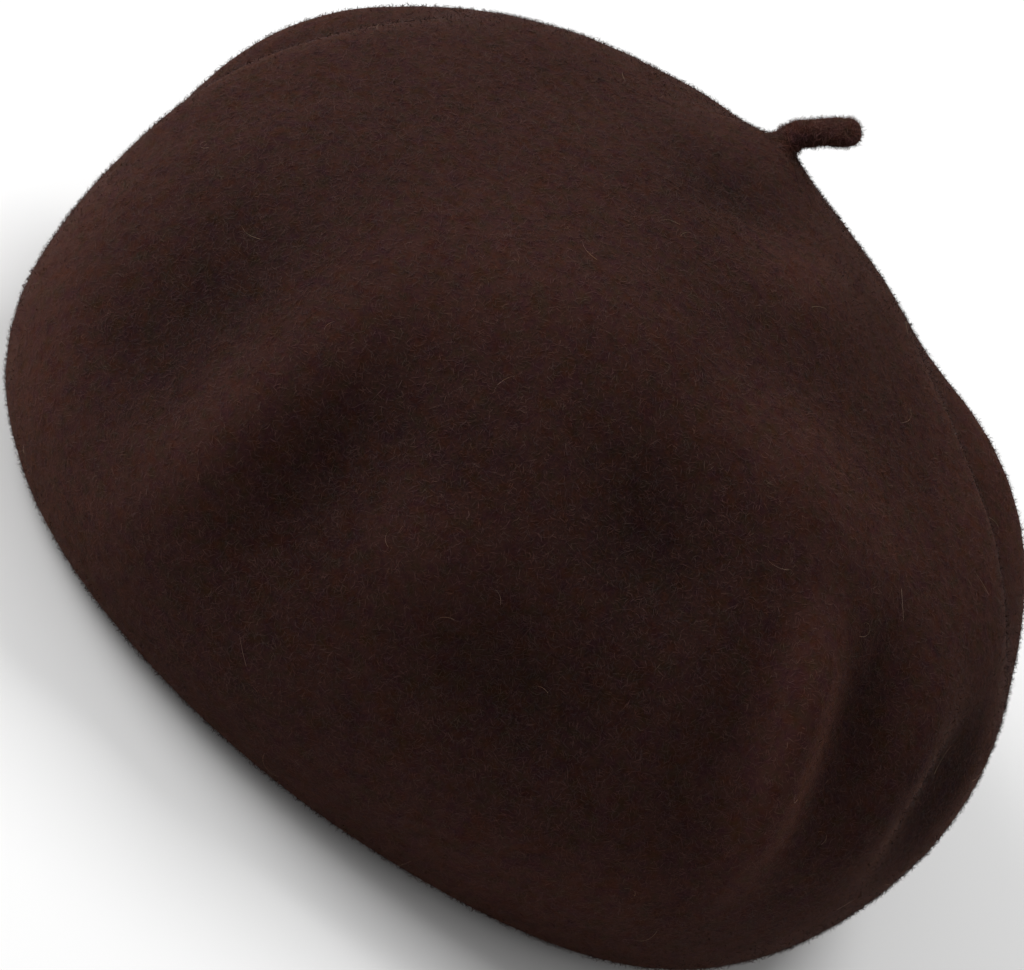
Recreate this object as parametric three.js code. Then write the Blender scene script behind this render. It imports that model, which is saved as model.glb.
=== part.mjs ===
// A felt beret that rests on a flat surface with its head opening down.
// Millimetres, +Z up, the front toward -Y. The origin is on that surface, below the middle of the outline.
// The shell is one piece of felt. Its outer surface is drawn as closed rings that run from the stalk,
// over the shoulder and the rim, to the hem of the head opening, and folds and hollows are pressed into it.

import * as THREE from 'three';

// Felt
const WALL = 2.5;
const FELT_BROWN = 0x3a221c;
const FELT_ROUGHNESS = 0.95;

// Head opening, a circle of 503 mm round its edge
const OPENING_RADIUS = 80;
const OPENING_MIDDLE_Y = 1.6;

// Where the stalk grows out of the crown, and how far the crown leans back there
const STALK_SEAT = new THREE.Vector3(-8, 44, 120);
const SEAT_RING_RADIUS = 24;
const SEAT_LEAN = 0.5;
const SEAT_RISE = 3;
const SEAT_RISE_WIDTH = 12;

// Stalk
const STALK_GAP = 0.3;
const STALK_FOOT_SHARE = 0.65;
const STALK_RADIUS = 3.2;

// The rolled edge under the rim
const ROLL_HEIGHT = 6;
const CONTACT_INSET = 11;
const FLAT_SHARES = [0, 0.2, 0.6, 1];

// The upright axis that the sections are measured from
const SECTION_AXIS = new THREE.Vector2(-1.1, -8.4);

// Sections every 30 degrees round the axis, from the right and by way of the back. Each pair is a radius
// and a height that the felt is drawn toward, and roll is the radius where it turns under the rim.
const SECTIONS = [
  { azimuth: 0, shoulder: [70, 108], side: [109, 92], rim: [125, 46], roll: 113 },
  { azimuth: 30, shoulder: [70, 109], side: [107, 88], rim: [122, 44], roll: 112 },
  { azimuth: 60, shoulder: [67, 107], side: [100, 79], rim: [119, 42], roll: 110 },
  { azimuth: 90, shoulder: [68, 112], side: [100, 80], rim: [118, 42], roll: 108 },
  { azimuth: 120, shoulder: [73, 113], side: [110, 88], rim: [120, 42], roll: 109 },
  { azimuth: 150, shoulder: [77, 115], side: [110, 90], rim: [122, 42], roll: 110 },
  { azimuth: 180, shoulder: [67, 110], side: [106, 88], rim: [119, 42], roll: 111 },
  { azimuth: 210, shoulder: [60, 112], side: [104, 86], rim: [130, 42], roll: 118.5 },
  { azimuth: 240, shoulder: [50, 118], side: [92, 84], rim: [113, 38], roll: 100.5 },
  { azimuth: 270, shoulder: [46, 122], side: [80, 84], rim: [101, 34], roll: 92.5 },
  { azimuth: 300, shoulder: [50, 118], side: [87, 84], rim: [106, 38], roll: 94.5 },
  { azimuth: 330, shoulder: [60, 112], side: [104, 88], rim: [122, 44], roll: 110.5 },
];

// Folds and hollows. Each runs from one place through another to a third, and a place is an azimuth in
// degrees and a station, which is 0 at the stalk and 1 at the hem. A negative height is a hollow.
const FOLDS = [
  // The shoulder ridge, which arches over the front
  { from: [234, 0.52], through: [237, 0.33], to: [226, 0.19], width: 13, height: 5 },
  { from: [224, 0.19], through: [252, 0.155], to: [296, 0.155], width: 18, height: 4 },
  { from: [288, 0.155], through: [316, 0.16], to: [334, 0.21], width: 16, height: 3.5 },
  // Hollows and one swell on the face below it
  { from: [250, 0.43], through: [247, 0.32], to: [240, 0.22], width: 15, height: -5.5 },
  { from: [276, 0.2], through: [292, 0.23], to: [304, 0.27], width: 14, height: -5.5 },
  { from: [270, 0.37], through: [286, 0.35], to: [298, 0.36], width: 16, height: -5 },
  { from: [258, 0.33], through: [264, 0.315], to: [272, 0.3], width: 13, height: 3 },
  // The left lobe, with its hollow
  { from: [224, 0.44], through: [221, 0.33], to: [206, 0.22], width: 17, height: -5.5 },
  { from: [198, 0.42], through: [205, 0.48], to: [212, 0.56], width: 16, height: 2 },
  // Beside the stalk
  { from: [225, 0.05], through: [265, 0.06], to: [310, 0.045], width: 13, height: -3.5 },
  { from: [300, 0.09], through: [318, 0.08], to: [336, 0.07], width: 15, height: 3 },
  // The narrow ridge on the right with the valleys beside it, a second ridge and the hollow past it
  { from: [316, 0.22], through: [311, 0.315], to: [312, 0.44], width: 8, height: -1.5 },
  { from: [323.5, 0.21], through: [320.5, 0.315], to: [320.5, 0.46], width: 7.5, height: 6.2 },
  { from: [336, 0.22], through: [331, 0.29], to: [327, 0.4], width: 10, height: -5 },
  { from: [351, 0.24], through: [338, 0.31], to: [333, 0.43], width: 10, height: 3.8 },
  { from: [356, 0.3], through: [348, 0.35], to: [342, 0.44], width: 10, height: -4.5 },
  // The fold over the left edge: its lip, its furrow and the roll behind
  { from: [190, 0.42], through: [180, 0.3], to: [156, 0.2], width: 12, height: 3 },
  { from: [184, 0.46], through: [168, 0.33], to: [146, 0.24], width: 12, height: -5.5 },
  { from: [172, 0.48], through: [158, 0.36], to: [140, 0.27], width: 15, height: 6 },
  // The fold over the right edge, in the same way
  { from: [30, 0.08], through: [15, 0.175], to: [-2, 0.28], width: 12, height: 3 },
  { from: [40, 0.12], through: [24, 0.21], to: [6, 0.33], width: 12, height: -5.5 },
  { from: [50, 0.17], through: [34, 0.26], to: [18, 0.38], width: 15, height: 4.5 },
  // Soft puckers on the back
  { from: [78, 0.28], through: [82, 0.42], to: [84, 0.56], width: 15, height: -4.5 },
  { from: [98, 0.3], through: [98, 0.44], to: [99, 0.58], width: 14, height: 3 },
  { from: [122, 0.34], through: [117, 0.46], to: [114, 0.6], width: 13, height: -4 },
];
const DABS_IN_FOLD = 17;
const FOLD_FADE_FROM = 1;
const FOLD_FADE_OVER = 12;

// Fineness of the faceted shell
const SIDES = 80;
const ROWS = 28;
const FIRST_STATION = 0.016;
const AZIMUTH_STEP = 0.5;
const STATION_STEP = 0.002;

const radians = (degrees) => THREE.MathUtils.degToRad(degrees);

// A smooth closed curve through one value for each section, by uniform cubic B-spline
function round(values, azimuth) {
  const place = (azimuth / 360) * values.length;
  const before = Math.floor(place);
  const f = place - before;
  const weights = [
    (1 - f) ** 3 / 6,
    (3 * f ** 3 - 6 * f ** 2 + 4) / 6,
    (-3 * f ** 3 + 3 * f ** 2 + 3 * f + 1) / 6,
    f ** 3 / 6,
  ];
  const at = (k) => values[(before + k - 1 + 2 * values.length) % values.length];
  return weights.reduce((sum, weight, k) => sum + weight * at(k), 0);
}

const sectionValue = (azimuth, column) => round(SECTIONS.map(column), azimuth);

// The weights of a clamped cubic B-spline's points at a station
function ringWeights(count, station) {
  const degree = 3;
  const spans = count - degree;
  const knot = (i) => THREE.MathUtils.clamp((i - degree) / spans, 0, 1);
  const t = Math.min(station, 1 - 1e-9);
  let weights = [];
  for (let i = 0; i < count + degree; i += 1) {
    weights.push(t >= knot(i) && t < knot(i + 1) ? 1 : 0);
  }
  for (let d = 1; d <= degree; d += 1) {
    const next = [];
    for (let i = 0; i + 1 < weights.length; i += 1) {
      const rising = knot(i + d) - knot(i);
      const falling = knot(i + d + 1) - knot(i + 1);
      const left = rising > 0 ? ((t - knot(i)) / rising) * weights[i] : 0;
      const right = falling > 0 ? ((knot(i + d + 1) - t) / falling) * weights[i + 1] : 0;
      next.push(left + right);
    }
    weights = next;
  }
  return weights;
}

// The points that one meridian is drawn toward, from the stalk to the hem
function meridian(azimuth) {
  const c = Math.cos(radians(azimuth));
  const s = Math.sin(radians(azimuth));
  const fromAxis = (radius, height) =>
    new THREE.Vector3(SECTION_AXIS.x + radius * c, SECTION_AXIS.y + radius * s, height);
  const pair = (name) =>
    fromAxis(
      sectionValue(azimuth, (section) => section[name][0]),
      sectionValue(azimuth, (section) => section[name][1]),
    );
  const roll = sectionValue(azimuth, (section) => section.roll);
  const contact = fromAxis(roll - CONTACT_INSET, 0);
  const hem = new THREE.Vector3(OPENING_RADIUS * c, OPENING_MIDDLE_Y + OPENING_RADIUS * s, 0);
  const seatRing = new THREE.Vector3(
    SEAT_RING_RADIUS * c,
    SEAT_RING_RADIUS * s,
    -SEAT_LEAN * SEAT_RING_RADIUS * s,
  );
  return [
    STALK_SEAT.clone(),
    seatRing.add(STALK_SEAT),
    pair('shoulder'),
    pair('side'),
    pair('rim'),
    fromAxis(roll, ROLL_HEIGHT),
    ...FLAT_SHARES.map((share) => contact.clone().lerp(hem, share)),
  ];
}

// The surface before any fold is pressed into it
function smoothPoint(azimuth, station) {
  const rings = meridian(azimuth);
  const weights = ringWeights(rings.length, station);
  return rings.reduce((sum, ring, k) => sum.addScaledVector(ring, weights[k]), new THREE.Vector3());
}

// The outward normal of a surface that is a function of azimuth and station
function normalOf(surface, azimuth, station) {
  if (station < STATION_STEP) {
    return new THREE.Vector3(0, SEAT_LEAN, 1).normalize();
  }
  const here = surface(azimuth, station);
  const round = surface(azimuth + AZIMUTH_STEP, station).sub(here);
  const along = surface(azimuth, Math.min(station + STATION_STEP, 1));
  along.sub(surface(azimuth, station - STATION_STEP));
  return along.cross(round).normalize();
}

// A fold as a row of soft dabs along a bent line, strongest in its middle
function dabsOf(fold) {
  const [from, through, to] = [fold.from, fold.through, fold.to].map((place) => smoothPoint(...place));
  const bend = through.clone().multiplyScalar(2).sub(from.clone().lerp(to, 0.5));
  const line = new THREE.QuadraticBezierCurve3(from, bend, to);
  const dabs = [];
  for (let i = 0; i < DABS_IN_FOLD; i += 1) {
    const share = (i + 0.5) / DABS_IN_FOLD;
    dabs.push({ centre: line.getPoint(share), strength: Math.sin(Math.PI * share) });
  }
  const middle = dabs[(DABS_IN_FOLD - 1) / 2].centre;
  const whole = pressure(dabs, fold.width, middle);
  return { dabs, width: fold.width, scale: fold.height / whole };
}

function pressure(dabs, width, point) {
  return dabs.reduce(
    (sum, dab) => sum + dab.strength * Math.exp(-point.distanceToSquared(dab.centre) / width ** 2),
    0,
  );
}

const PRESSED_FOLDS = FOLDS.map(dabsOf);

// How far the felt stands out of the smooth surface. Folds fade out where the felt lies on the surface below.
function relief(point) {
  const rise = SEAT_RISE * Math.exp(-point.distanceToSquared(STALK_SEAT) / SEAT_RISE_WIDTH ** 2);
  const folds = PRESSED_FOLDS.reduce(
    (sum, fold) => sum + fold.scale * pressure(fold.dabs, fold.width, point),
    0,
  );
  const fade = THREE.MathUtils.smoothstep(point.z, FOLD_FADE_FROM, FOLD_FADE_FROM + FOLD_FADE_OVER);
  return (rise + folds) * fade;
}

function outerPoint(azimuth, station) {
  const point = smoothPoint(azimuth, station);
  return point.addScaledVector(normalOf(smoothPoint, azimuth, station), relief(point));
}

function innerPoint(azimuth, station) {
  const inward = normalOf(outerPoint, azimuth, station).multiplyScalar(-WALL);
  return outerPoint(azimuth, station).add(inward);
}

// A closed body from one skin outside and one inside, which meet at the hem
function shellGeometry() {
  const positions = [];
  const triangles = [];
  const addSkin = (surface) => {
    const start = positions.length / 3;
    positions.push(...surface(0, 0));
    for (let row = 0; row < ROWS; row += 1) {
      const station = FIRST_STATION + ((1 - FIRST_STATION) * row) / (ROWS - 1);
      for (let side = 0; side < SIDES; side += 1) {
        positions.push(...surface((360 * side) / SIDES, station));
      }
    }
    return (row, side) => (row < 0 ? start : start + 1 + row * SIDES + (side % SIDES));
  };
  const addBand = (upper, lower) => {
    for (let side = 0; side < SIDES; side += 1) {
      const [a, b, c, d] = [upper(side), lower(side), lower(side + 1), upper(side + 1)];
      triangles.push(a, b, c);
      if (a !== d) {
        triangles.push(a, c, d);
      }
    }
  };
  const outer = addSkin(outerPoint);
  const inner = addSkin(innerPoint);
  for (let row = 0; row < ROWS; row += 1) {
    addBand((side) => outer(row - 1, side), (side) => outer(row, side));
    addBand((side) => inner(row - 1, -side + SIDES), (side) => inner(row, -side + SIDES));
  }
  addBand((side) => outer(ROWS - 1, side), (side) => inner(ROWS - 1, side));
  return closedGeometry(positions, triangles);
}

function closedGeometry(positions, triangles) {
  const geometry = new THREE.BufferGeometry();
  geometry.setAttribute('position', new THREE.Float32BufferAttribute(positions, 3));
  geometry.setIndex(triangles);
  geometry.computeVertexNormals();
  return geometry;
}

// The stalk's middle line from its seat, in millimetres right, back and up
const STALK_LINE = [
  [0, 0, 0],
  [1, 1.6, 3.1],
  [3.6, 2.4, 6.1],
  [7.2, 2.2, 9.7],
  [11.2, 1.8, 13.9],
];
// The share of its length over which the stalk turns from square to the crown to square to its line
const STALK_TURN_SHARE = 0.3;

// Radius along the stalk: the share of its length, then the radius as a share of STALK_RADIUS
const STALK_GIRTH = [
  [0.05, 1.4],
  [0.11, 1.2],
  [0.19, 1.08],
  [0.3, 1],
  [0.45, 0.97],
  [0.6, 0.99],
  [0.75, 1.02],
  [0.87, 1],
  [0.94, 0.86],
  [0.985, 0.5],
];
const STALK_SIDES = 20;

function stalkGeometry() {
  const seat = outerPoint(0, 0);
  const up = new THREE.Vector3(0, SEAT_LEAN, 1).normalize();
  const gap = up.clone().multiplyScalar(STALK_GAP);
  const line = new THREE.CatmullRomCurve3(
    STALK_LINE.map(([right, back, height]) => new THREE.Vector3(right, back, height).add(seat)),
  );
  const positions = [];
  const addPoint = (point) => positions.push(...point);
  addPoint(seat.clone().add(gap));
  for (let side = 0; side < STALK_SIDES; side += 1) {
    const edge = outerPoint((360 * side) / STALK_SIDES, FIRST_STATION);
    addPoint(seat.clone().lerp(edge, STALK_FOOT_SHARE).add(gap));
  }
  for (const [share, girth] of STALK_GIRTH) {
    const middle = line.getPointAt(share);
    const turned = THREE.MathUtils.smoothstep(share, 0, STALK_TURN_SHARE);
    const ahead = up.clone().lerp(line.getTangentAt(share), turned).normalize();
    const back = new THREE.Vector3(0, 1, 0).addScaledVector(ahead, -ahead.y).normalize();
    const right = back.clone().cross(ahead);
    for (let side = 0; side < STALK_SIDES; side += 1) {
      const angle = radians((360 * side) / STALK_SIDES);
      const offset = right.clone().multiplyScalar(Math.cos(angle)).addScaledVector(back, Math.sin(angle));
      addPoint(middle.clone().addScaledVector(offset, STALK_RADIUS * girth));
    }
  }
  addPoint(line.getPointAt(1));
  const triangles = [];
  const rings = STALK_GIRTH.length + 1;
  const last = 1 + rings * STALK_SIDES;
  const at = (ring, side) => 1 + ring * STALK_SIDES + (side % STALK_SIDES);
  for (let side = 0; side < STALK_SIDES; side += 1) {
    triangles.push(0, at(0, side + 1), at(0, side));
    for (let ring = 0; ring < rings - 1; ring += 1) {
      triangles.push(at(ring, side), at(ring, side + 1), at(ring + 1, side + 1));
      triangles.push(at(ring, side), at(ring + 1, side + 1), at(ring + 1, side));
    }
    triangles.push(at(rings - 1, side), at(rings - 1, side + 1), last);
  }
  return closedGeometry(positions, triangles);
}

function feltMesh(name, geometry) {
  const material = new THREE.MeshStandardMaterial({
    color: FELT_BROWN,
    roughness: FELT_ROUGHNESS,
    metalness: 0,
  });
  const mesh = new THREE.Mesh(geometry, material);
  mesh.name = name;
  return mesh;
}

const beret = new THREE.Group();
beret.name = 'beret';
beret.add(feltMesh('crown', shellGeometry()));
beret.add(feltMesh('stalk', stalkGeometry()));

export default beret;
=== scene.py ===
"""A dark brown felt beret at rest on a pale floor. Metres, +Z up, the front toward -Y.

The felt follows the same sections, folds and stalk line as the part's source, so each piece lies where
its solid is. Its nap and its stray hairs are real fibres, and the finer texture is in its material.
"""

import math
from collections import namedtuple

import bpy
import numpy as np
from mathutils import Matrix, Vector


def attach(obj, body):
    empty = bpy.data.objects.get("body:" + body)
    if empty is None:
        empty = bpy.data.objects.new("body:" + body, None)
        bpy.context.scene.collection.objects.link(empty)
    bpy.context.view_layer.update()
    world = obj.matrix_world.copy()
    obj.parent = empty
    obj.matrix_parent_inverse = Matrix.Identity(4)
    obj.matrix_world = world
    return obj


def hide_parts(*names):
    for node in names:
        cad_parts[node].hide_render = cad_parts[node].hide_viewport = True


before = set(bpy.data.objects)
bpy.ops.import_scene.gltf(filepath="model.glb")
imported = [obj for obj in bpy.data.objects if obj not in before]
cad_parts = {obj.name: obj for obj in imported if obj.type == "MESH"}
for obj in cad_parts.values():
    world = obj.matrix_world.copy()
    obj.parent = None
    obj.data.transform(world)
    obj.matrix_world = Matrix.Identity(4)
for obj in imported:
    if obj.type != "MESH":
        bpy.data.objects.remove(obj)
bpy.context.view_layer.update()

# Camera

PHOTO_SIZE = (1024, 970)
PIXELS_PER_METRE = 4490
CAMERA_DISTANCE = 1.25
CAMERA_ELEVATION = math.radians(34)
CAMERA_ROLL = math.radians(40.3)
AIM = Vector((-0.0011, -0.0084, 0.052))
AIM_PIXEL = (551, 467)
SENSOR_WIDTH = 36  # millimetres, as Blender's cameras have it


def make_camera():
    """The photo's camera: in front and above, and rolled, so that the beret leans to the right."""
    forward = Vector((0, math.cos(CAMERA_ELEVATION), -math.sin(CAMERA_ELEVATION)))
    level = Vector((1, 0, 0))
    upright = level.cross(forward)
    right = level * math.cos(CAMERA_ROLL) + upright * math.sin(CAMERA_ROLL)
    up = upright * math.cos(CAMERA_ROLL) - level * math.sin(CAMERA_ROLL)
    off_right = (AIM_PIXEL[0] - PHOTO_SIZE[0] / 2) / PIXELS_PER_METRE
    off_up = (PHOTO_SIZE[1] / 2 - AIM_PIXEL[1]) / PIXELS_PER_METRE
    place = AIM - forward * CAMERA_DISTANCE - right * off_right - up * off_up
    data = bpy.data.cameras.new("camera")
    data.sensor_width = SENSOR_WIDTH
    data.lens = SENSOR_WIDTH * PIXELS_PER_METRE * CAMERA_DISTANCE / PHOTO_SIZE[0]
    camera = bpy.data.objects.new("camera", data)
    bpy.context.scene.collection.objects.link(camera)
    camera.matrix_world = Matrix.Translation(place) @ Matrix((right, up, -forward)).transposed().to_4x4()
    bpy.context.scene.camera = camera


make_camera()

# The beret's main sizes, as in the part's source

WALL = 0.0025
OPENING_RADIUS = 0.080
OPENING_MIDDLE_Y = 0.0016
SECTION_AXIS = (-0.0011, -0.0084)
STALK_SEAT = np.array([-0.008, 0.044, 0.120])
SEAT_RING_RADIUS = 0.024
SEAT_LEAN = 0.5
SEAT_RISE = 0.003
SEAT_RISE_WIDTH = 0.012
SEAT_NORMAL = np.array([0, SEAT_LEAN, 1]) / math.hypot(SEAT_LEAN, 1)
STALK_FOOT = STALK_SEAT + SEAT_RISE * SEAT_NORMAL
ROLL_HEIGHT = 0.006
CONTACT_INSET = 0.011
FLAT_SHARES = (0, 0.2, 0.6, 1)

# Sections every 30 degrees round the axis, from the right and by way of the back. Each pair is a radius
# and a height that the felt is drawn toward, and roll is the radius where it turns under the rim.
Section = namedtuple("Section", "azimuth shoulder side rim roll")
SECTIONS = [
    Section(0, (0.070, 0.108), (0.109, 0.092), (0.125, 0.046), 0.113),
    Section(30, (0.070, 0.109), (0.107, 0.088), (0.122, 0.044), 0.112),
    Section(60, (0.067, 0.107), (0.100, 0.079), (0.119, 0.042), 0.110),
    Section(90, (0.068, 0.112), (0.100, 0.080), (0.118, 0.042), 0.108),
    Section(120, (0.073, 0.113), (0.110, 0.088), (0.120, 0.042), 0.109),
    Section(150, (0.077, 0.115), (0.110, 0.090), (0.122, 0.042), 0.110),
    Section(180, (0.067, 0.110), (0.106, 0.088), (0.119, 0.042), 0.111),
    Section(210, (0.060, 0.112), (0.104, 0.086), (0.130, 0.042), 0.1185),
    Section(240, (0.050, 0.118), (0.092, 0.084), (0.113, 0.038), 0.1005),
    Section(270, (0.046, 0.122), (0.080, 0.084), (0.101, 0.034), 0.0925),
    Section(300, (0.050, 0.118), (0.087, 0.084), (0.106, 0.038), 0.0945),
    Section(330, (0.060, 0.112), (0.104, 0.088), (0.122, 0.044), 0.1105),
]

# Folds and hollows. Each runs from one place through another to a third, and a place is an azimuth in
# degrees and a station, which is 0 at the stalk and 1 at the hem. A negative height is a hollow.
Fold = namedtuple("Fold", "start through end width height")
FOLDS = [
    # The shoulder ridge, which arches over the front
    Fold((234, 0.52), (237, 0.33), (226, 0.19), 0.013, 0.005),
    Fold((224, 0.19), (252, 0.155), (296, 0.155), 0.018, 0.004),
    Fold((288, 0.155), (316, 0.16), (334, 0.21), 0.016, 0.0035),
    # Hollows and one swell on the face below it
    Fold((250, 0.43), (247, 0.32), (240, 0.22), 0.015, -0.0055),
    Fold((276, 0.2), (292, 0.23), (304, 0.27), 0.014, -0.0055),
    Fold((270, 0.37), (286, 0.35), (298, 0.36), 0.016, -0.005),
    Fold((258, 0.33), (264, 0.315), (272, 0.3), 0.013, 0.003),
    # The left lobe, with its hollow
    Fold((224, 0.44), (221, 0.33), (206, 0.22), 0.017, -0.0055),
    Fold((198, 0.42), (205, 0.48), (212, 0.56), 0.016, 0.002),
    # Beside the stalk
    Fold((225, 0.05), (265, 0.06), (310, 0.045), 0.013, -0.0035),
    Fold((300, 0.09), (318, 0.08), (336, 0.07), 0.015, 0.003),
    # The narrow ridge on the right with the valleys beside it, a second ridge and the hollow past it
    Fold((316, 0.22), (311, 0.315), (312, 0.44), 0.008, -0.0015),
    Fold((323.5, 0.21), (320.5, 0.315), (320.5, 0.46), 0.0075, 0.0062),
    Fold((336, 0.22), (331, 0.29), (327, 0.4), 0.010, -0.005),
    Fold((351, 0.24), (338, 0.31), (333, 0.43), 0.010, 0.0038),
    Fold((356, 0.3), (348, 0.35), (342, 0.44), 0.010, -0.0045),
    # The fold over the left edge: its lip, its furrow and the roll behind
    Fold((190, 0.42), (180, 0.3), (156, 0.2), 0.012, 0.003),
    Fold((184, 0.46), (168, 0.33), (146, 0.24), 0.012, -0.0055),
    Fold((172, 0.48), (158, 0.36), (140, 0.27), 0.015, 0.006),
    # The fold over the right edge, in the same way
    Fold((30, 0.08), (15, 0.175), (-2, 0.28), 0.012, 0.003),
    Fold((40, 0.12), (24, 0.21), (6, 0.33), 0.012, -0.0055),
    Fold((50, 0.17), (34, 0.26), (18, 0.38), 0.015, 0.0045),
    # Soft puckers on the back
    Fold((78, 0.28), (82, 0.42), (84, 0.56), 0.015, -0.0045),
    Fold((98, 0.3), (98, 0.44), (99, 0.58), 0.014, 0.003),
    Fold((122, 0.34), (117, 0.46), (114, 0.6), 0.013, -0.004),
]

# Painted light and shade: streaks where the felt's colour is painted lighter, as highlight, or darker where
# the height is negative, as painted shade. They change the colour alone, so their heights are amounts of
# painted light.
PAINTED_LIGHT_STREAKS = [
    Fold((324, 0.2), (322, 0.31), (322, 0.45), 0.006, 1.8),
    Fold((282, 0.52), (301, 0.49), (317, 0.44), 0.014, 0.6),
    Fold((290, 0.145), (328, 0.155), (350, 0.22), 0.013, 0.8),
    Fold((14, 0.12), (2, 0.19), (-8, 0.26), 0.012, 0.6),
    Fold((188, 0.34), (208, 0.45), (242, 0.5), 0.013, 1.0),
    Fold((352, 0.27), (339, 0.33), (334, 0.43), 0.006, -0.7),
    Fold((357, 0.3), (349, 0.36), (342, 0.45), 0.010, -1.2),
    Fold((46, 0.15), (31, 0.25), (14, 0.37), 0.013, 1.0),
    Fold((286, 0.075), (302, 0.076), (318, 0.08), 0.012, 0.6),
    Fold((225, 0.055), (254, 0.06), (275, 0.06), 0.012, -0.3),
]
DABS_IN_FOLD = 17
# Folds paint the felt lighter on their crests and darker in their hollows: painted light and shade, partly
# wear
PAINTED_LIGHT_FOLD_HEIGHT = 0.009  # a fold this high is painted fully lighter: painted highlight, partly wear
PAINTED_LIGHT_RANGE = (-1, 1.5)

# Between these heights above the floor, folds and waves grow from nothing to their full height
FADE_FROM = 0.001
FADE_TO = 0.013

# How far apart the places are that give the felt's slope
AZIMUTH_STEP = 0.5
STATION_STEP = 0.002

# How uneven the felt is between its folds
WAVES = 90
WAVE_LENGTHS = (0.006, 0.045)
WAVE_SLOPE = 0.005
WAVE_SEED = 11

# Fineness of the felt's mesh
AROUND = 440
OUTER_ROWS = 152
INNER_ROWS = 48
HEM_ROWS = 5
FIRST_STATION = 0.004


def closed_curve(values, azimuth):
    """A smooth closed curve through one value for each section, by uniform cubic B-spline."""
    place = azimuth / 360 * len(values)
    before = np.floor(place).astype(int)
    f = place - before
    weights = (
        (1 - f) ** 3 / 6,
        (3 * f**3 - 6 * f**2 + 4) / 6,
        (-3 * f**3 + 3 * f**2 + 3 * f + 1) / 6,
        f**3 / 6,
    )
    values = np.array(values)
    return sum(weight * values[(before + k - 1) % len(values)] for k, weight in enumerate(weights))


def ring_weights(count, station):
    """The weights of a clamped cubic B-spline's points at each station."""
    degree = 3
    knots = np.concatenate([np.zeros(degree), np.linspace(0, 1, count - degree + 1), np.ones(degree)])
    t = np.clip(station, 0, 1 - 1e-9)
    weights = [((t >= low) & (t < high)).astype(float) for low, high in zip(knots, knots[1:])]
    for d in range(1, degree + 1):
        wider = []
        for i in range(len(weights) - 1):
            rising = knots[i + d] - knots[i]
            falling = knots[i + d + 1] - knots[i + 1]
            left = (t - knots[i]) / rising * weights[i] if rising > 0 else 0
            right = (knots[i + d + 1] - t) / falling * weights[i + 1] if falling > 0 else 0
            wider.append(left + right)
        weights = wider
    return weights


def smooth_felt(azimuth, station):
    """The felt's surface before any fold is pressed into it."""
    c, s = np.cos(np.radians(azimuth)), np.sin(np.radians(azimuth))

    def from_axis(radius, height):
        x = SECTION_AXIS[0] + radius * c
        y = SECTION_AXIS[1] + radius * s
        return np.stack([x, y, height + 0 * c], axis=-1)

    def drawn_toward(name):
        pairs = [getattr(section, name) for section in SECTIONS]
        radius = closed_curve([pair[0] for pair in pairs], azimuth)
        height = closed_curve([pair[1] for pair in pairs], azimuth)
        return from_axis(radius, height)

    seat = STALK_SEAT + 0 * c[..., None]
    seat_ring = STALK_SEAT + SEAT_RING_RADIUS * np.stack([c, s, -SEAT_LEAN * s], axis=-1)
    roll = closed_curve([section.roll for section in SECTIONS], azimuth)
    contact = from_axis(roll - CONTACT_INSET, 0)
    hem = np.stack([OPENING_RADIUS * c, OPENING_MIDDLE_Y + OPENING_RADIUS * s, 0 * c], axis=-1)
    rings = [seat, seat_ring, drawn_toward("shoulder"), drawn_toward("side"), drawn_toward("rim")]
    rings.append(from_axis(roll, ROLL_HEIGHT))
    rings += [contact + share * (hem - contact) for share in FLAT_SHARES]
    weights = ring_weights(len(rings), station)
    return sum(weight[..., None] * ring for weight, ring in zip(weights, rings))


def normals_of(surface, azimuth, station):
    """The outward normals of a surface that is a function of azimuth and station."""
    here = surface(azimuth, station)
    beside = surface(azimuth + AZIMUTH_STEP, station) - here
    along = surface(azimuth, np.minimum(station + STATION_STEP, 1))
    along = along - surface(azimuth, np.maximum(station - STATION_STEP, 0))
    normals = np.cross(along, beside)
    normals /= np.maximum(np.linalg.norm(normals, axis=-1, keepdims=True), 1e-12)
    return np.where((station < STATION_STEP)[..., None], SEAT_NORMAL, normals)


def bell(points, centre, width):
    """1 at the centre, and falling off softly over the width."""
    return np.exp(-((points - centre) ** 2).sum(axis=-1) / width**2)


def fold_relief(points, fold):
    """A fold as a row of soft dabs along a bent line, strongest in its middle."""
    ends = [np.array(place, dtype=float)[:, None] for place in (fold.start, fold.through, fold.end)]
    start, through, end = (smooth_felt(*place)[0] for place in ends)
    bend = 2 * through - (start + end) / 2
    shares = (np.arange(DABS_IN_FOLD) + 0.5) / DABS_IN_FOLD
    dabs = [(1 - t) ** 2 * start + 2 * t * (1 - t) * bend + t**2 * end for t in shares]
    strengths = np.sin(math.pi * shares)
    middle = dabs[DABS_IN_FOLD // 2]
    whole = sum(strength * bell(middle, dab, fold.width) for strength, dab in zip(strengths, dabs))
    pressed = sum(strength * bell(points, dab, fold.width) for strength, dab in zip(strengths, dabs))
    return fold.height * pressed / whole


def unevenness(points):
    """Gentle waves of many lengths, none of them over a fraction of a millimetre high."""
    rng = np.random.default_rng(WAVE_SEED)
    directions = rng.normal(size=(WAVES, 3))
    directions /= np.linalg.norm(directions, axis=1, keepdims=True)
    lengths = np.exp(rng.uniform(*np.log(WAVE_LENGTHS), size=WAVES))
    phases = rng.uniform(0, 2 * math.pi, size=WAVES)
    total = 0
    for direction, length, phase in zip(directions, lengths, phases):
        turns = 2 * math.pi / length
        total = total + WAVE_SLOPE / turns * np.sin(points @ direction * turns + phase)
    return total


def all_relief(points, folds):
    """What all folds of a table come to together."""
    return sum(fold_relief(points, fold) for fold in folds)


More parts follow.
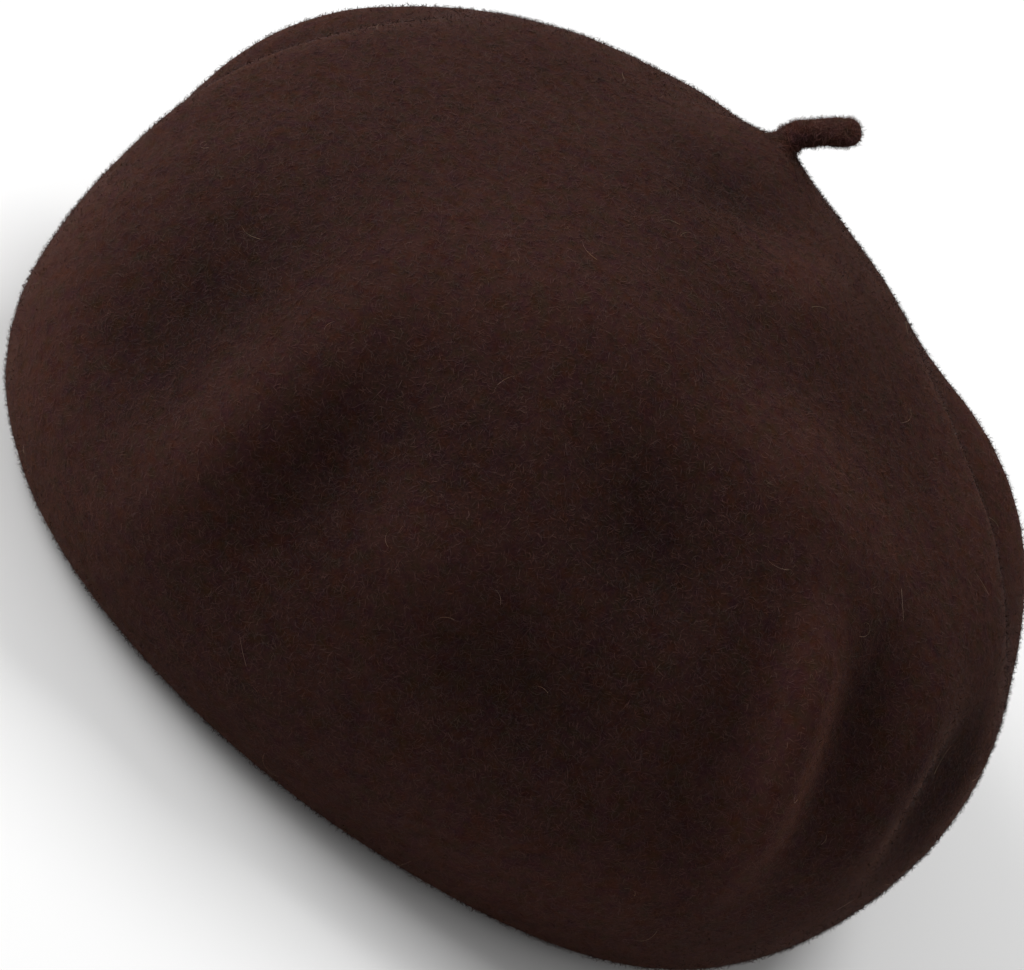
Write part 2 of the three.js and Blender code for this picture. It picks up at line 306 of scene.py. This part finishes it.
def outer_felt(azimuth, station):
    """The felt's outer surface, with the seat of the stalk, the folds and the unevenness."""
    points = smooth_felt(azimuth, station)
    relief = SEAT_RISE * bell(points, STALK_SEAT, SEAT_RISE_WIDTH) + unevenness(points)
    relief = relief + all_relief(points, FOLDS)
    fade = np.clip((points[..., 2] - FADE_FROM) / (FADE_TO - FADE_FROM), 0, 1)
    fade = fade * fade * (3 - 2 * fade)
    return points + normals_of(smooth_felt, azimuth, station) * (relief * fade)[..., None]


# Shader graphs


class Value:
    """A node's output, with operators that add Math nodes to its graph."""

    def __init__(self, graph, socket):
        self.graph = graph
        self.socket = socket

    def maths(self, operation, first, second):
        """A Math node on two values, either of which may be a plain number."""
        return self.graph.node("ShaderNodeMath", {"operation": operation}, {0: first, 1: second})

    def __add__(self, other):
        return self.maths("ADD", self, other)

    def __radd__(self, other):
        return self.maths("ADD", other, self)

    def __sub__(self, other):
        return self.maths("SUBTRACT", self, other)

    def __rsub__(self, other):
        return self.maths("SUBTRACT", other, self)

    def __mul__(self, other):
        return self.maths("MULTIPLY", self, other)

    def __rmul__(self, other):
        return self.maths("MULTIPLY", other, self)

    def __abs__(self):
        return self.maths("ABSOLUTE", self, 0)


class Graph:
    """One material's nodes, built from its Principled shader outward."""

    def __init__(self, name, finish):
        self.material = bpy.data.materials.new(name)
        self.material.use_nodes = True
        self.nodes = self.material.node_tree.nodes
        self.links = self.material.node_tree.links
        self.shader = self.nodes["Principled BSDF"]
        self.fill(self.shader, finish)

    def fill(self, node, inputs):
        """Fills a node's sockets with values or links."""
        for name, value in inputs.items():
            if isinstance(value, Value):
                self.links.new(value.socket, node.inputs[name])
            else:
                node.inputs[name].default_value = value

    def node(self, kind, settings=None, inputs=None, output=0):
        """Adds a node, makes its settings, then fills its sockets."""
        node = self.nodes.new(kind)
        for name, value in (settings or {}).items():
            setattr(node, name, value)
        self.fill(node, inputs or {})
        return Value(self, node.outputs[output])

    def noise(self, place, size, detail, roughness=0.5, output=0):
        """Soft noise whose lumps are about the given size in metres."""
        inputs = {"Vector": place, "Scale": 1 / size, "Detail": detail, "Roughness": roughness}
        return self.node("ShaderNodeTexNoise", {}, inputs, output)

    def scaled(self, value, low, high, new_low=0, new_high=1):
        """A value's range mapped to a new one, and clamped to it."""
        inputs = {"Value": value, "From Min": low, "From Max": high, "To Min": new_low, "To Max": new_high}
        return self.node("ShaderNodeMapRange", {"clamp": True}, inputs)

    def blend(self, factor, first, second, how="MIX"):
        """A mix of two colours, which are the Mix node's inputs 6 and 7."""
        settings = {"data_type": "RGBA", "blend_type": how}
        return self.node("ShaderNodeMix", settings, {0: factor, 6: first, 7: second}, output=2)

    def moved(self, place, offset):
        """A place moved by a vector."""
        return self.node("ShaderNodeVectorMath", {"operation": "ADD"}, {0: place, 1: offset})

    def wear(self):
        """Painted light and shade, partly wear: 1 on the crest of a fold, -1 in the depth of a hollow."""
        return self.node("ShaderNodeAttribute", {"attribute_name": "wear"}, output="Fac")


# Felt colours, linear
DEEP_BROWN = (0.0150, 0.0066, 0.0060, 1)
FELT_BROWN = (0.0275, 0.0110, 0.0092, 1)
LIGHT_BROWN = (0.0400, 0.0158, 0.0124, 1)
RUSSET = (0.0370, 0.0119, 0.0086, 1)
PALE_FIBRE = (0.052, 0.0252, 0.0188, 1)
FUZZ_BROWN = (0.050, 0.0228, 0.0164, 1)
STRAY_PALE = (0.22, 0.145, 0.10, 1)

FELT_FINISH = {
    "Roughness": 0.95,
    "Specular IOR Level": 0.05,
    "Sheen Weight": 0.16,
    "Sheen Roughness": 0.30,
    "Sheen Tint": (0.50, 0.19, 0.10, 1),
}
FIBRE_FINISH = {"Roughness": 0.8, "Specular IOR Level": 0.2}

# Wool that was dyed unevenly: each tint shades patches of its own
Tint = namedtuple("Tint", "colour offset")
TINTS = [
    Tint((1.0, 0.84, 0.66, 1), (0.2, 0.5, 0.9)),
    Tint((0.82, 1.0, 0.80, 1), (0.7, 0.1, 0.4)),
    Tint((0.86, 0.76, 1.0, 1), (0.4, 0.8, 0.2)),
]
TINT_PATCHES = (0.48, 0.66)

# How big the lumps of each texture are
TINT_SIZE = 0.0032
CLOUD_SIZE = 0.030
MOTTLE_SIZE = 0.0045
GRAIN_SIZE = 0.0006
DRIFT_SIZE = 1 / 900
STRAND_SIZE = 0.0016
TUFT_SIZE = 0.0021

# Tangled fibres: how far they wander, how wide a strand is, and where each layer of them lies
STRAND_DRIFT = 0.0012
STRAND_EDGE = 0.035
STRAND_LAYERS = ((0, 0, 0), (0.3, 0.7, 0.1), (0.9, 0.2, 0.5))
STRAND_PALENESS = 0.3
BUMP_HEIGHT = 0.00025

# How much each texture, and the painted light and shade of the folds and streaks, count for in the felt's
# tone
CLOUD_SHARE = 0.35
MOTTLE_SHARE = 0.45
GRAIN_SHARE = 1.1
PAINTED_LIGHT_SHARE = 0.5
TONE_SHIFT = 0.45
TONE_RANGE = (0.1, 0.9)

# The darkest and the lightest wool of one colour, as shares of its red, green and blue, and how
# much the tufts and the painted light and shade (partly wear) count for in the brightness between them
FIBRE_DARK = (0.60, 0.70, 0.78)
FIBRE_LIGHT = (1.80, 1.66, 1.60)
TUFT_CONTRAST = 2.8
FIBRE_PAINTED_LIGHT_SHARE = 0.8
BRIGHTNESS_RANGE = (-1, 1.5)


def tinted(graph, place, colour):
    """A colour with soft patches of redder, greener and bluer wool."""
    for tint in TINTS:
        patches = graph.noise(graph.moved(place, tint.offset), TINT_SIZE, 3, 0.6)
        colour = graph.blend(graph.scaled(patches, *TINT_PATCHES), colour, tint.colour, "MULTIPLY")
    return colour


def felt_material():
    """Fulled wool: cloudy brown, with tangled fibres, a fine grain and a soft sheen."""
    graph = Graph("felt", FELT_FINISH)
    place = graph.node("ShaderNodeTexCoord", output="Object")
    clouds = graph.noise(place, CLOUD_SIZE, 2)
    mottle = graph.noise(place, MOTTLE_SIZE, 3, 0.6)
    grain = graph.noise(place, GRAIN_SIZE, 3, 0.65)
    drift = graph.noise(place, DRIFT_SIZE, 1, output="Color")
    bent = graph.node("ShaderNodeVectorMath", {"operation": "SCALE"}, {0: drift, "Scale": STRAND_DRIFT})
    tangle = 0
    for offset in STRAND_LAYERS:
        strand_place = graph.moved(graph.moved(place, bent), offset)
        ridge = abs(graph.noise(strand_place, STRAND_SIZE, 1) - 0.5)
        tangle = tangle + graph.scaled(ridge, 0, STRAND_EDGE, 1, 0)
    tone = clouds * CLOUD_SHARE + mottle * MOTTLE_SHARE + grain * GRAIN_SHARE - TONE_SHIFT
    # Painted light and shade, partly wear: lighter on fold crests and streaks, darker in hollows
    tone = tone + graph.wear() * PAINTED_LIGHT_SHARE
    paleness = graph.scaled(tangle * grain, 0.2, 1.2, 0, STRAND_PALENESS)
    colour = graph.blend(graph.scaled(tone, *TONE_RANGE), DEEP_BROWN, LIGHT_BROWN)
    colour = graph.blend(paleness, colour, PALE_FIBRE)
    height = tangle * 0.5 + grain + mottle * 0.5
    bump = graph.node("ShaderNodeBump", {}, {"Height": height, "Strength": 0.5, "Distance": BUMP_HEIGHT})
    graph.fill(graph.shader, {"Base Color": tinted(graph, place, colour), "Normal": bump})
    return graph.material


def shaded(colour, shares):
    """A colour made darker or lighter by a share for each of red, green and blue."""
    return [share * part for share, part in zip(shares, colour)] + [1]


def fibre_material(name, colour):
    """Wool fibre in lighter and darker tufts, with painted light on crests, partly wear, and painted shade
    in hollows.
    """
    graph = Graph(name, FIBRE_FINISH)
    place = graph.node("ShaderNodeTexCoord", output="Object")
    tufts = graph.noise(place, TUFT_SIZE, 3) * TUFT_CONTRAST - TUFT_CONTRAST / 2
    brightness = graph.scaled(tufts + graph.wear() * FIBRE_PAINTED_LIGHT_SHARE, *BRIGHTNESS_RANGE)
    wool = graph.blend(brightness, shaded(colour, FIBRE_DARK), shaded(colour, FIBRE_LIGHT))
    graph.fill(graph.shader, {"Base Color": tinted(graph, place, wool)})
    return graph.material


# Meshes

# A surface as rings of points, with their normals and the painted light and shade, partly wear, at each of
# them
Skin = namedtuple("Skin", "points normals wear")


def new_piece(name, points, faces, material, wear=None, stands_for=()):
    """A piece of felt that rides on the beret's one body, and may stand for one of its solids."""
    mesh = bpy.data.meshes.new(name)
    mesh.from_pydata(points, [], faces)
    mesh.shade_smooth()
    mesh.materials.append(material)
    if wear is not None:
        # The painted light and shade, partly wear, goes on each point as an attribute
        mesh.attributes.new("wear", "FLOAT", "POINT").data.foreach_set("value", np.float32(wear))
    piece = bpy.data.objects.new(name, mesh)
    bpy.context.scene.collection.objects.link(piece)
    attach(piece, "root")
    if stands_for:
        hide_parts(*stands_for)


def unit(vectors):
    """The vectors with a length of 1."""
    return vectors / np.linalg.norm(vectors, axis=-1, keepdims=True)


def ringed_body(rings, first_pole, last_pole):
    """The points and faces of a body drawn as closed rings between two poles."""
    count, around = rings.shape[:2]
    points = np.concatenate([[first_pole], rings.reshape(-1, 3), [last_pole]])
    side = np.arange(around)
    beside = (side + 1) % around
    faces = np.stack([0 * side, 1 + side, 1 + beside], axis=1).tolist()
    for row in range(count - 1):
        upper = 1 + row * around
        lower = upper + around
        faces += np.stack([upper + side, lower + side, lower + beside, upper + beside], axis=1).tolist()
    last_row = 1 + (count - 1) * around
    last_point = 0 * side + len(points) - 1
    faces += np.stack([last_row + side, last_point, last_row + beside], axis=1).tolist()
    return points.tolist(), faces


def make_crown(material):
    """The felt shell: its outer skin, its rounded hem and its inner skin. Returns the outer skin."""
    azimuths = np.linspace(0, 360, AROUND, endpoint=False)
    azimuth, station = np.meshgrid(azimuths, np.linspace(FIRST_STATION, 1, OUTER_ROWS))
    outer = outer_felt(azimuth, station)
    normals = normals_of(outer_felt, azimuth, station)
    inner_rows = np.linspace(OUTER_ROWS - 1, 0, INNER_ROWS).round().astype(int)
    inner = (outer - WALL * normals)[inner_rows]
    hem_middle = outer[-1] - WALL / 2 * normals[-1]
    inward = unit(outer[-1] - outer[-2])
    turns = math.pi * (np.arange(HEM_ROWS) + 1) / (HEM_ROWS + 1)
    hem = [hem_middle + WALL / 2 * (math.cos(t) * normals[-1] + math.sin(t) * inward) for t in turns]
    rings = np.concatenate([outer, hem, inner])
    smooth = smooth_felt(azimuth, station)
    # Painted light and shade, partly wear: the felt is lighter on fold crests and streaks and darker in
    # hollows
    painted_light_and_wear = np.clip(all_relief(smooth, FOLDS) / PAINTED_LIGHT_FOLD_HEIGHT + all_relief(smooth, PAINTED_LIGHT_STREAKS), *PAINTED_LIGHT_RANGE)
    wear = np.zeros(2 + rings[..., 0].size)
    wear[1 : 1 + painted_light_and_wear.size] = painted_light_and_wear.ravel()
    points, faces = ringed_body(rings, STALK_FOOT, STALK_FOOT - WALL * SEAT_NORMAL)
    new_piece("crown_felt", points, faces, material, wear, ["crown"])
    return Skin(outer, normals, painted_light_and_wear)


# The stalk's middle line from its seat, right, back and up
STALK_LINE = [
    (0, 0, 0),
    (0.0010, 0.0016, 0.0031),
    (0.0036, 0.0024, 0.0061),
    (0.0072, 0.0022, 0.0097),
    (0.0112, 0.0018, 0.0139),
]
STALK_RADIUS = 0.0032
STALK_AROUND = 96
STALK_ROWS = 110
STALK_LUMPS = 5  # times finer than the crown's unevenness
# The stalk's colour is painted lighter all over, as painted light against its shade
STALK_PAINTED_LIGHT = 1.5

# Along the stalk: the share of its length, then the radius as a share of STALK_RADIUS
STALK_GIRTH = [
    (0.14, 1.06),
    (0.24, 1.0),
    (0.4, 0.97),
    (0.6, 0.99),
    (0.75, 1.02),
    (0.87, 1.0),
    (0.935, 0.87),
    (0.977, 0.6),
    (0.997, 0.22),
]

# Its foot, which spreads out and runs into the crown
FOOT_ROWS = 16
FOOT_STATION = 0.0105
FOOT_BEND = 0.0016
FOOT_SINK = 0.0001


def curve_through(points, shares):
    """Places along a smooth curve through the points, by Catmull-Rom."""
    points = np.array(points, dtype=float)
    padded = np.concatenate([[2 * points[0] - points[1]], points, [2 * points[-1] - points[-2]]])
    place = np.clip(np.asarray(shares) * (len(points) - 1), 0, len(points) - 1 - 1e-9)
    before = np.floor(place).astype(int)
    t = (place - before)[..., None]
    a, b, c, d = (padded[before + k] for k in range(4))
    return 0.5 * (2 * b + (c - a) * t + (2 * a - 5 * b + 4 * c - d) * t**2 + (3 * b - a - 3 * c + d) * t**3)


def make_stalk(material):
    """The stalk, from the foot that spreads on the crown to the blunt tip. Returns its skin."""
    turn = np.linspace(0, 2 * math.pi, STALK_AROUND, endpoint=False)
    c, s = np.cos(turn)[:, None], np.sin(turn)[:, None]
    shares, girth = curve_through(STALK_GIRTH, np.linspace(0, 1, STALK_ROWS)).T
    middles = curve_through(STALK_LINE, shares)
    ahead = unit(np.gradient(middles, axis=0))
    back = unit(np.array([0, 1, 0]) - ahead[:, 1:2] * ahead)
    right = np.cross(back, ahead)
    offsets = c * right[:, None] + s * back[:, None]
    rings = STALK_FOOT + middles[:, None] + offsets * (STALK_RADIUS * girth)[:, None, None]
    rings = rings + offsets * unevenness(rings * STALK_LUMPS)[..., None]

    def crown_ring(station):
        return outer_felt(np.degrees(turn), station + 0 * turn) - FOOT_SINK * SEAT_NORMAL

    rim = crown_ring(FOOT_STATION)
    inward = unit(crown_ring(FOOT_STATION / 2) - rim)
    t = np.linspace(0, 1, FOOT_ROWS, endpoint=False)[:, None, None]
    foot = (1 - t) ** 3 * rim + 3 * (1 - t) ** 2 * t * (rim + FOOT_BEND * inward)
    foot = foot + 3 * (1 - t) * t**2 * (rings[0] - FOOT_BEND * ahead[0]) + t**3 * rings[0]
    rings = np.concatenate([foot, rings])
    tip = STALK_FOOT + curve_through(STALK_LINE, 1)
    points, faces = ringed_body(rings, STALK_FOOT - WALL / 2 * SEAT_NORMAL, tip)
    # Painted light: the stalk is coloured lighter all over
    new_piece("stalk_felt", points, faces, material, np.full(len(points), STALK_PAINTED_LIGHT), ["stalk"])
    beside = np.roll(rings, -1, axis=1) - np.roll(rings, 1, axis=1)
    normals = unit(np.cross(beside, np.gradient(rings, axis=0)))
    return Skin(rings, normals, np.full(rings.shape[:2], STALK_PAINTED_LIGHT))


def cell_corners(grid):
    """The four corners of every cell of a ringed grid."""
    low, high = grid[:-1], grid[1:]
    return [low, high, np.roll(low, -1, axis=1), np.roll(high, -1, axis=1)]


def scatter(skin, count, rng):
    """Places all over a skin, as many to each square millimetre, with their normals and their painted light
    and shade.
    """
    first, second, third, fourth = cell_corners(skin.points)
    areas = np.linalg.norm(np.cross(fourth - first, third - second), axis=-1).ravel()
    cells = rng.choice(len(areas), size=count, p=areas / areas.sum())
    a, b = rng.random((2, count, 1))
    shares = ((1 - a) * (1 - b), a * (1 - b), (1 - a) * b, a * b)

    def chosen(grid):
        corners = [corner.reshape(len(areas), -1)[cells] for corner in cell_corners(grid)]
        return sum(share * corner for share, corner in zip(shares, corners))

    return chosen(skin.points), unit(chosen(skin.normals)), chosen(skin.wear)


Nap = namedtuple("Nap", "name colour count length width lift")
NAPS = [
    Nap("nap_deep", FELT_BROWN, 52000, (0.0008, 0.0022), 0.00013, (0.10, 0.75)),
    Nap("nap_brown", LIGHT_BROWN, 56000, (0.0008, 0.0024), 0.00012, (0.10, 0.85)),
    Nap("nap_russet", RUSSET, 40000, (0.0007, 0.0022), 0.00012, (0.10, 0.80)),
    Nap("nap_pale", PALE_FIBRE, 17000, (0.0008, 0.0026), 0.00010, (0.05, 0.70)),
    Nap("nap_fuzz", FUZZ_BROWN, 30000, (0.0007, 0.0018), 0.00005, (0.80, 3.00)),
]
STALK_NAP_SHARE = 0.018
NAP_LOWEST = 0.0015  # no fibre grows below this height, because the beret lies on it there
NAP_SEED = 100
NAP_CURL = 0.5
NAP_TWIST = 0.4
NAP_TIP_LIFT = 0.6
NAP_MIDDLE_WIDTH = 0.8
NAP_FACES = np.array([[0, 1, 2], [0, 2, 3], [3, 2, 4]])


def make_nap(nap, crown, stalk, seed):
    """Short tapering fibres that lean every way out of the felt, as one mesh."""
    rng = np.random.default_rng(seed)
    on_stalk = int(nap.count * STALK_NAP_SHARE)
    on_crown = nap.count - on_stalk
    places = zip(scatter(crown, on_crown, rng), scatter(stalk, on_stalk, rng))
    roots, normals, wear = (np.concatenate(pair) for pair in places)
    above = roots[:, 2] > NAP_LOWEST
    roots, normals, wear = roots[above], normals[above], wear[above]
    count = len(roots)
    lying = rng.normal(size=(count, 3))
    lying = unit(lying - (lying * normals).sum(axis=1, keepdims=True) * normals)
    across = np.cross(normals, lying)
    curl = rng.normal(0, NAP_CURL, size=(count, 1))
    lift = rng.uniform(*nap.lift, size=(count, 1))
    length = rng.uniform(*nap.length, size=(count, 1))
    twist = rng.normal(0, NAP_TWIST, size=(count, 1))
    lower_half = unit(lying + lift * normals) * length / 2
    upper_half = unit(lying + curl * across + lift * NAP_TIP_LIFT * normals) * length / 2
    side = unit(across + twist * normals) * nap.width / 2
    inset = side * NAP_MIDDLE_WIDTH
    middles = roots + lower_half
    tips = middles + upper_half
    points = np.stack([roots - side, roots + side, middles + inset, middles - inset, tips], axis=1)
    faces = points.shape[1] * np.arange(count)[:, None, None] + NAP_FACES
    material = fibre_material(nap.name, nap.colour)
    # Each fibre carries the painted light and shade of the felt where it grows
    wear = np.repeat(wear, points.shape[1])
    new_piece(nap.name, points.reshape(-1, 3), faces.reshape(-1, 3), material, wear)


# Stray hairs, longer and paler than the nap
HAIR_COUNT = 70
HAIR_SEED = 5
HAIR_POINTS = 12
HAIR_LENGTH = (0.0035, 0.0095)
HAIR_WIDTH = 0.00009
HAIR_TAPER = 0.7
HAIR_SIDES = (0, 2.1, 4.2)  # the turns of a hair's three edges round its middle line
HAIR_BEND = 2.2
HAIR_TIP_BEND = 1.5
HAIR_LIFT = 0.0006
HAIR_ARCH = (0.6, 1)


def make_stray_hairs(skin):
    """A few long curling hairs that have worked out of the felt, each a thin three-sided tube."""
    rng = np.random.default_rng(HAIR_SEED)
    roots, normals, _ = scatter(skin, HAIR_COUNT, rng)
    points, faces = [], []
    for root, normal in zip(roots, normals):
        if root[2] < NAP_LOWEST:
            continue
        heading = rng.normal(size=3)
        heading = unit(heading - heading @ normal * normal)
        across = np.cross(normal, heading)
        length = rng.uniform(*HAIR_LENGTH)
        bend = rng.normal(0, HAIR_BEND)
        shares = np.linspace(0, 1, HAIR_POINTS)
        angles = bend * shares**HAIR_TIP_BEND
        steps = np.cos(angles)[:, None] * heading + np.sin(angles)[:, None] * across
        line = root + np.cumsum(steps, axis=0) * length / HAIR_POINTS
        arch = np.sin(math.pi * shares * rng.uniform(*HAIR_ARCH))
        line = line + normal * (HAIR_LIFT * arch)[:, None]
        start = len(points)
        for place, share in zip(line, shares):
            for angle in HAIR_SIDES:
                round_line = math.cos(angle) * normal + math.sin(angle) * across
                points.append(place + round_line * HAIR_WIDTH / 2 * (1 - HAIR_TAPER * share))
        sides = len(HAIR_SIDES)
        for row in range(HAIR_POINTS - 1):
            for k in range(sides):
                a = start + sides * row + k
                b = start + sides * row + (k + 1) % sides
                faces.append((a, b, b + sides, a + sides))
    new_piece("stray_hairs", points, faces, fibre_material("stray_hair", STRAY_PALE))


felt = felt_material()
crown_skin = make_crown(felt)
stalk_skin = make_stalk(felt)
for number, nap in enumerate(NAPS):
    make_nap(nap, crown_skin, stalk_skin, NAP_SEED + number)
make_stray_hairs(crown_skin)

# Floor and light

FLOOR_HALF = 6
FLOOR_FINISH = {"Base Color": (0.86, 0.86, 0.86, 1), "Roughness": 0.9, "Specular IOR Level": 0.1}
SKY_STRENGTH = 0.42
LIGHT_WIDTH = 0.9

Light = namedtuple("Light", "name direction distance power")
LIGHTS = [
    Light("key_light", (-0.85, -0.10, 0.50), 1.6, 22),
    Light("back_light", (0.10, 0.45, 0.85), 1.8, 16),
]


def make_floor():
    """A plain pale floor that the beret lies on."""
    mesh = bpy.data.meshes.new("floor")
    corners = [(-FLOOR_HALF, -FLOOR_HALF, 0), (FLOOR_HALF, -FLOOR_HALF, 0)]
    corners += [(FLOOR_HALF, FLOOR_HALF, 0), (-FLOOR_HALF, FLOOR_HALF, 0)]
    mesh.from_pydata(corners, [], [(0, 1, 2, 3)])
    mesh.materials.append(Graph("floor", FLOOR_FINISH).material)
    floor = bpy.data.objects.new("floor", mesh)
    bpy.context.scene.collection.objects.link(floor)


def make_soft_light(light):
    """A large square light that looks at the beret from a direction."""
    data = bpy.data.lights.new(light.name, "AREA")
    data.size = LIGHT_WIDTH
    data.energy = light.power
    lamp = bpy.data.objects.new(light.name, data)
    direction = Vector(light.direction).normalized()
    lamp.location = AIM + direction * light.distance
    lamp.rotation_euler = direction.to_track_quat("Z", "Y").to_euler()
    bpy.context.scene.collection.objects.link(lamp)


def make_sky():
    """An even white surrounding."""
    world = bpy.data.worlds.new("sky")
    world.use_nodes = True
    background = world.node_tree.nodes["Background"]
    background.inputs["Color"].default_value = (1, 1, 1, 1)
    background.inputs["Strength"].default_value = SKY_STRENGTH
    bpy.context.scene.world = world


make_floor()
for light in LIGHTS:
    make_soft_light(light)
make_sky()
bpy.context.scene.view_settings.view_transform = "Standard"
